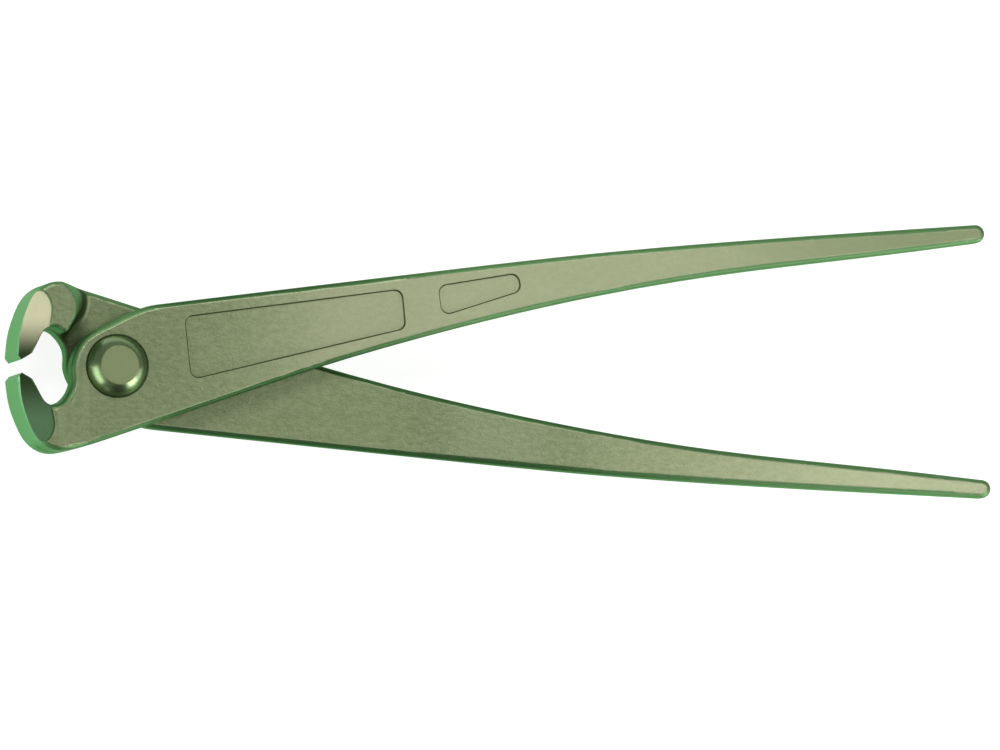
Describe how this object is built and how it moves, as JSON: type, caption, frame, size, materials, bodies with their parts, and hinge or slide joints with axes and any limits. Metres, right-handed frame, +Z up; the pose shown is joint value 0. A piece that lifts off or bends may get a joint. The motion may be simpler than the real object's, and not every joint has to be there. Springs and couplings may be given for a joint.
{
  "type": "rebar tying pliers",
  "caption": "Long-handled end-cutting pliers for twisting and cutting tie wire: crossed forged legs, rounded jaws, flat-topped joint rivet.",
  "frame": {"origin": "centre of the flat under the joint rivet's lower head, which is the bench that the tool lies on", "axes": "+X along the handles, from the joint to their tips; +Z up along the joint's axis; +Y across, towards the tip of the front leg's handle"},
  "size_m": [0.2962, 0.0814, 0.022],
  "materials": {
    "forged_steel": "forged and blackened, satin, fine rough grain",
    "rivet_steel": "turned and blackened, semi-gloss"
  },
  "bodies": {
    "front_leg": {"front_leg": "forged_steel", "joint_rivet": "rivet_steel"},
    "back_leg": {"back_leg": "forged_steel"}
  },
  "joints": [
    {"name": "joint_pivot", "type": "hinge", "parent": "front_leg", "child": "back_leg", "pos_m": [0, 0, 0.011], "axis": [0, 0, 1], "range_deg": [-30, 7.6]}
  ]
}
